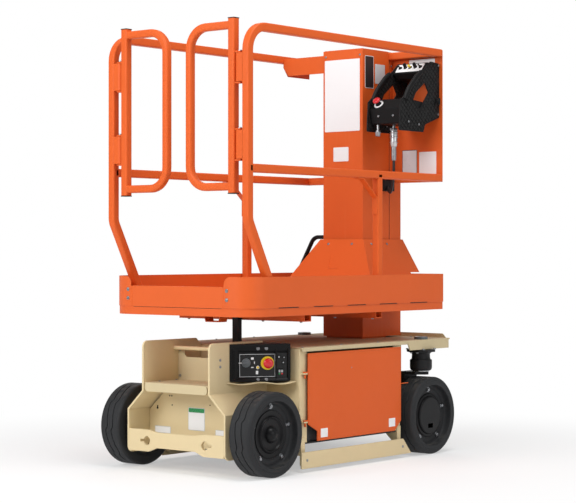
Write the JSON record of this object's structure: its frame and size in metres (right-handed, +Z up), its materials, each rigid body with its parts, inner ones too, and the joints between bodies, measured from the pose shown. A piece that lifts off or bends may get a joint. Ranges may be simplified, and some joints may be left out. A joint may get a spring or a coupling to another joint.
{
  "type": "vertical mast lift",
  "caption": "Self-propelled vertical mast lift: wheeled chassis with side doors and rear step, telescopic mast, railed platform with saloon gates and control box.",
  "frame": {"origin": "on the floor, under the centre of the machine's overall outline", "axes": "+X forward to the mast end, +Y to the machine's left, +Z up"},
  "size_m": [1.36, 0.76, 1.694],
  "materials": {
    "frame_cream": "satin",
    "machine_orange": "satin",
    "control_black": "matte",
    "control_knob": "gloss",
    "battery_grey": "matte",
    "post_black": "satin",
    "cap_grey": "satin",
    "steer_black": "satin",
    "mast_steel": "satin",
    "gland_metal": "satin",
    "cap_black": "matte",
    "tyre_grey": "matte",
    "cord_black": "matte"
  },
  "bodies": {
    "chassis": {"chassis_pan": "frame_cream", "mast_well": "frame_cream", "bay_walls": "frame_cream", "bay_dividers": "frame_cream", "nose_frame": "frame_cream", "deck": "frame_cream", "rear_cheeks": "frame_cream", "rear_panel": "frame_cream", "step": "frame_cream", "step_rod": "frame_cream", "tie_down_bar": "frame_cream", "control_shelf": "frame_cream", "guard_brackets": "frame_cream", "door_hinges": "frame_cream", "ground_control_box": "control_black", "ground_control_knobs": "control_knob", "batteries": "battery_grey", "platform_post": "post_black", "kingpin_caps": "cap_grey", "steer_housings": "steer_black", "rear_axles": "steer_black", "mast_base": "mast_steel"},
    "stage_1": {"mast_stage_1": "mast_steel"},
    "stage_2": {"mast_stage_2": "mast_steel"},
    "stage_3": {"mast_stage_3": "mast_steel"},
    "platform": {"mast_sleeve": "machine_orange", "mast_cover": "machine_orange", "mast_skirt": "machine_orange", "platform_tray": "machine_orange", "cross_beams": "machine_orange", "rail_bridge": "machine_orange", "console_panel": "machine_orange", "control_guards": "control_black", "control_box": "control_black", "control_stop": "control_knob", "cable_gland": "gland_metal", "control_cable": "cord_black", "cable_clamp": "control_black", "cable_conduit": "control_black", "side_rail_left": "machine_orange", "side_rail_right": "machine_orange"},
    "gate_left": {"gate_left": "machine_orange", "gate_caps_left": "cap_black"},
    "door_left": {"door_left": "machine_orange"},
    "guard_left": {"guard_bar_left": "frame_cream"},
    "steer_left": {"knuckle_left": "steer_black"},
    "wheel_front_left": {"tyre_front_left": "tyre_grey", "hub_front_left": "steer_black"},
    "wheel_rear_left": {"tyre_rear_left": "tyre_grey", "hub_rear_left": "steer_black"},
    "gate_right": {"gate_right": "machine_orange", "gate_caps_right": "cap_black"},
    "door_right": {"door_right": "machine_orange"},
    "guard_right": {"guard_bar_right": "frame_cream"},
    "steer_right": {"knuckle_right": "steer_black"},
    "wheel_front_right": {"tyre_front_right": "tyre_grey", "hub_front_right": "steer_black"},
    "wheel_rear_right": {"tyre_rear_right": "tyre_grey", "hub_rear_right": "steer_black"}
  },
  "joints": [
    {"name": "mast_lift", "type": "slide", "parent": "stage_3", "child": "platform", "axis": [0, 0, 1], "range_m": [0, 0.765]},
    {"name": "stage_1_lift", "type": "slide", "parent": "chassis", "child": "stage_1", "axis": [0, 0, 1], "range_m": [0, 0.765]},
    {"name": "stage_2_lift", "type": "slide", "parent": "stage_1", "child": "stage_2", "axis": [0, 0, 1], "range_m": [0, 0.765]},
    {"name": "stage_3_lift", "type": "slide", "parent": "stage_2", "child": "stage_3", "axis": [0, 0, 1], "range_m": [0, 0.765]},
    {"name": "gate_left_hinge", "type": "hinge", "parent": "platform", "child": "gate_left", "pos_m": [-0.64075, 0.3057, 1.37], "axis": [0, 0, 1], "range_deg": [0, 90]},
    {"name": "door_left_hinge", "type": "hinge", "parent": "chassis", "child": "door_left", "pos_m": [-0.30975, 0.345, 0.28], "axis": [0, 0, 1], "range_deg": [0, 100]},
    {"name": "guard_left_lift", "type": "slide", "parent": "chassis", "child": "guard_left", "axis": [0, 0, 1], "range_m": [0, 0.03]},
    {"name": "steer_left_kingpin", "type": "hinge", "parent": "chassis", "child": "steer_left", "pos_m": [0.50175, 0.31, 0.38], "axis": [0, 0, 1], "range_deg": [-65, 65]},
    {"name": "wheel_front_left_spin", "type": "hinge", "parent": "steer_left", "child": "wheel_front_left", "pos_m": [0.49375, 0.33, 0.15875], "axis": [0, 1, 0], "continuous": true},
    {"name": "wheel_rear_left_spin", "type": "hinge", "parent": "chassis", "child": "wheel_rear_left", "pos_m": [-0.52125, 0.33, 0.15875], "axis": [0, 1, 0], "continuous": true},
    {"name": "gate_right_hinge", "type": "hinge", "parent": "platform", "child": "gate_right", "pos_m": [-0.64075, -0.3057, 1.37], "axis": [0, 0, -1], "range_deg": [0, 90]},
    {"name": "door_right_hinge", "type": "hinge", "parent": "chassis", "child": "door_right", "pos_m": [-0.30975, -0.345, 0.28], "axis": [0, 0, -1], "range_deg": [0, 100]},
    {"name": "guard_right_lift", "type": "slide", "parent": "chassis", "child": "guard_right", "axis": [0, 0, 1], "range_m": [0, 0.03]},
    {"name": "steer_right_kingpin", "type": "hinge", "parent": "chassis", "child": "steer_right", "pos_m": [0.50175, -0.31, 0.38], "axis": [0, 0, 1], "range_deg": [-65, 65]},
    {"name": "wheel_front_right_spin", "type": "hinge", "parent": "steer_right", "child": "wheel_front_right", "pos_m": [0.49375, -0.33, 0.15875], "axis": [0, 1, 0], "continuous": true},
    {"name": "wheel_rear_right_spin", "type": "hinge", "parent": "chassis", "child": "wheel_rear_right", "pos_m": [-0.52125, -0.33, 0.15875], "axis": [0, 1, 0], "continuous": true}
  ],
  "couplings": [
    {"joint": "stage_1_lift", "follows": "mast_lift", "ratio": 1},
    {"joint": "stage_2_lift", "follows": "mast_lift", "ratio": 1},
    {"joint": "stage_3_lift", "follows": "mast_lift", "ratio": 1},
    {"joint": "steer_right_kingpin", "follows": "steer_left_kingpin", "ratio": 1}
  ]
}
